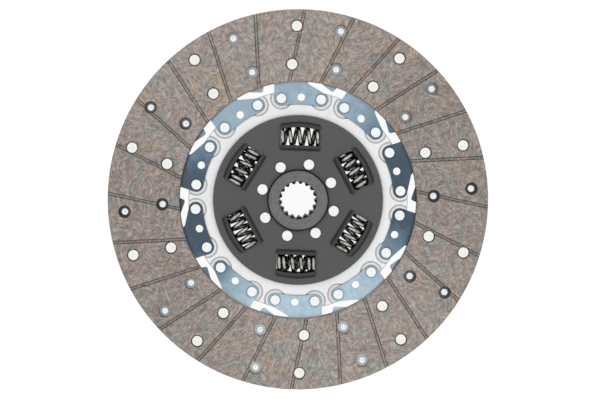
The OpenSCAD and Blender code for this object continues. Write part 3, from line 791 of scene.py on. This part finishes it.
class DISC_OT_side_plates(bpy.types.Operator):
    """Gives both side plates their dark phosphate"""

    bl_idname = "disc.side_plates"
    bl_label = "Side plates"

    def execute(self, context):
        colour = context.scene.disc_colours.side_plate
        finish = plate_finish("dark_phosphate", colour, 0.62, 0.0, 0.30, 0.82)
        dress(["front_side_plate", "rear_side_plate"], finish)
        return {"FINISHED"}


class DISC_OT_hub(bpy.types.Operator):
    """Gives the hub its turned steel"""

    bl_idname = "disc.hub"
    bl_label = "Hub"

    def execute(self, context):
        dress(["hub"], hub_finish(context.scene.disc_colours))
        return {"FINISHED"}


class DISC_OT_friction_rings(bpy.types.Operator):
    """Finishes the damper's friction rings and disc spring"""

    bl_idname = "disc.friction_rings"
    bl_label = "Friction rings"

    def execute(self, context):
        colours = context.scene.disc_colours
        lining = plate_finish("moulded_lining", colours.lining, 0.75, 0.0, 0.1)
        steel = plate_finish("disc_spring_steel", colours.spring_steel, 0.38, 0.85, 0.2)
        dress(["front_friction_ring", "rear_friction_ring"], lining)
        dress(["disc_spring"], steel)
        return {"FINISHED"}


class DISC_OT_rivets(bpy.types.Operator):
    """Finishes the hub, neck and facing rivets"""

    bl_idname = "disc.rivets"
    bl_label = "Rivets"

    def execute(self, context):
        colours = context.scene.disc_colours
        zinc = rivet_finish("zinc_rivet", colours.rivet, 0.4, 0.6)
        tin = rivet_finish("tin_rivet", colours.front_rivet, 0.3, 0.25, 0.30)
        bright_zinc = rivet_finish("bright_zinc_rivet", colours.rear_rivet, 0.3, 0.15, 0.15)
        dress(["hub_rivets", "neck_rivets"], zinc)
        dress(["front_facing_rivets"], tin)
        dress(["rear_facing_rivets"], bright_zinc)
        return {"FINISHED"}


class DISC_OT_outer_springs(bpy.types.Operator):
    """Winds the six outer damper springs"""

    bl_idname = "disc.outer_springs"
    bl_label = "Outer springs"

    def execute(self, context):
        scene = context.scene
        wire = finish_once("peened_wire", lambda: wire_finish(scene.disc_colours))
        for window in PAIRED + SINGLE:
            coil = wind_spring(scene.disc_sizes, window, inner=False)
            coil.data.materials.append(wire)
        return {"FINISHED"}


class DISC_OT_inner_springs(bpy.types.Operator):
    """Winds the inner springs of the paired windows"""

    bl_idname = "disc.inner_springs"
    bl_label = "Inner springs"

    def execute(self, context):
        scene = context.scene
        wire = finish_once("peened_wire", lambda: wire_finish(scene.disc_colours))
        for window in PAIRED:
            coil = wind_spring(scene.disc_sizes, window, inner=True)
            coil.data.materials.append(wire)
        return {"FINISHED"}


def floor_finish(colour):
    """Light table, near white to the camera and to gloss, and clear from below."""
    material, tree, shader = new_finish("studio_floor", 0.9)
    shader["Base Color"].default_value = (*colour, 1)
    shader["Emission Color"].default_value = (1, 1, 1, 1)
    shader["Emission Strength"].default_value = FLOOR_STRENGTH
    output = tree.nodes["Material Output"].inputs["Surface"]
    diffuse = tree.nodes["Principled BSDF"].outputs[0]
    pale = put(tree, "BsdfDiffuse", {"Color": (0.14, 0.14, 0.14, 1)}).outputs[0]
    feeds = {"Color": (1, 1, 1, 1), "Strength": FLOOR_BRIGHTNESS}
    glow = put(tree, "Emission", feeds).outputs[0]
    white = put(tree, "AddShader", {0: pale, 1: glow}).outputs[0]
    front = put(tree, "MixShader", {0: seen(tree), 1: diffuse, 2: white}).outputs[0]
    clear = put(tree, "BsdfTransparent").outputs[0]
    behind = put(tree, "NewGeometry").outputs["Backfacing"]
    tree.links.new(
        put(tree, "MixShader", {0: behind, 1: front, 2: clear}).outputs[0], output
    )
    return material


def softbox(name, place_at, aim, width, power, mirrored=True):
    """A square area lamp at a point, turned towards another. Gloss shows it if mirrored."""
    lamp = bpy.data.lights.new(name, "AREA")
    lamp.size, lamp.energy = width, power
    holder = bpy.data.objects.new(name, lamp)
    bpy.context.scene.collection.objects.link(holder)
    holder.visible_glossy = mirrored
    holder.location = place_at
    holder.rotation_mode = "QUATERNION"
    holder.rotation_quaternion = (Vector(aim) - Vector(place_at)).to_track_quat("-Z", "Y")


def overhead_camera():
    """A long lens nearly straight above, as in the photograph.

    The lens is the sensor's width times the distance over the image's width on the facing.
    """
    toward = Vector(CAMERA_WAY).normalized()
    target = Vector(CAMERA_TARGET)
    data = bpy.data.cameras.new("overhead_camera")
    data.sensor_width = SENSOR_WIDTH
    data.lens = SENSOR_WIDTH * CAMERA_DISTANCE / (IMAGE_WIDTH * PIXEL)
    data.clip_start, data.clip_end = 0.05, 50
    camera = bpy.data.objects.new("overhead_camera", data)
    bpy.context.scene.collection.objects.link(camera)
    right = Vector((0, 1, 0)).cross(toward).normalized()
    turn = Matrix((right, toward.cross(right), toward)).transposed()
    seat = Matrix.Translation(target + CAMERA_DISTANCE * toward)
    camera.matrix_world = seat @ turn.to_4x4()
    bpy.context.scene.camera = camera


class DISC_OT_stage(bpy.types.Operator):
    """Sets up the floor, lamps, world and camera"""

    bl_idname = "disc.stage"
    bl_label = "Stage"

    def execute(self, context):
        scene = context.scene
        scene.view_settings.view_transform = "Standard"
        world = bpy.data.worlds.new("studio_world")
        world.use_nodes = True
        scene.world = world
        tree = world.node_tree
        room = tree.nodes["Background"]
        room.inputs["Color"].default_value = (0.96, 0.98, 1.0, 1)
        room.inputs["Strength"].default_value = ROOM_STRENGTH
        white = put(tree, "Background", {"Color": (1, 1, 1, 1), "Strength": 1.0}).outputs[0]
        feeds = {0: seen(tree), 1: room.outputs[0], 2: white}
        sky = put(tree, "MixShader", feeds).outputs[0]
        tree.links.new(sky, tree.nodes["World Output"].inputs["Surface"])
        mesh = bpy.data.meshes.new("studio_floor")
        signs = ((-1, -1), (1, -1), (1, 1), (-1, 1))
        corners = [(FLOOR_REACH * x, FLOOR_REACH * y, FLOOR_Z) for x, y in signs]
        mesh.from_pydata(corners, [], [(0, 1, 2, 3)])
        mesh.materials.append(floor_finish(scene.disc_colours.floor))
        floor = bpy.data.objects.new("studio_floor", mesh)
        scene.collection.objects.link(floor)
        ceiling, front = (0, 0.3, 2.0), (0.9, -1.8, 1.1)
        softbox("ceiling_softbox", ceiling, (0, 0, 0), width=4.0, power=54, mirrored=False)
        softbox("front_softbox", front, (0, 0, 0.02), width=1.2, power=6)
        overhead_camera()
        return {"FINISHED"}


STEPS = (
    DISC_OT_facings,
    DISC_OT_segments,
    DISC_OT_carrier,
    DISC_OT_side_plates,
    DISC_OT_hub,
    DISC_OT_friction_rings,
    DISC_OT_rivets,
    DISC_OT_outer_springs,
    DISC_OT_inner_springs,
    DISC_OT_stage,
)


class DISC_PT_panel(bpy.types.Panel):
    """Lists the sizes, the colours and the steps"""

    bl_idname = "DISC_PT_panel"
    bl_label = "Clutch disc"
    bl_space_type = "VIEW_3D"
    bl_region_type = "UI"
    bl_category = "Clutch disc"

    def draw(self, context):
        for group in (context.scene.disc_sizes, context.scene.disc_colours):
            box = self.layout.box()
            for name in group.__annotations__:
                box.prop(group, name)
        for step in STEPS:
            self.layout.operator(step.bl_idname)


CLASSES = (DISC_PG_sizes, DISC_PG_colours, *STEPS, DISC_PT_panel)


def register():
    for cls in CLASSES:
        bpy.utils.register_class(cls)
    bpy.types.Scene.disc_sizes = PointerProperty(type=DISC_PG_sizes)
    bpy.types.Scene.disc_colours = PointerProperty(type=DISC_PG_colours)


def unregister():
    del bpy.types.Scene.disc_colours
    del bpy.types.Scene.disc_sizes
    for cls in reversed(CLASSES):
        bpy.utils.unregister_class(cls)


def main():
    """Runs every step in order."""
    register()
    make_groups()
    for step in STEPS:
        group, name = step.bl_idname.split(".")
        getattr(getattr(bpy.ops, group), name)()


if __name__ == "__main__":
    main()
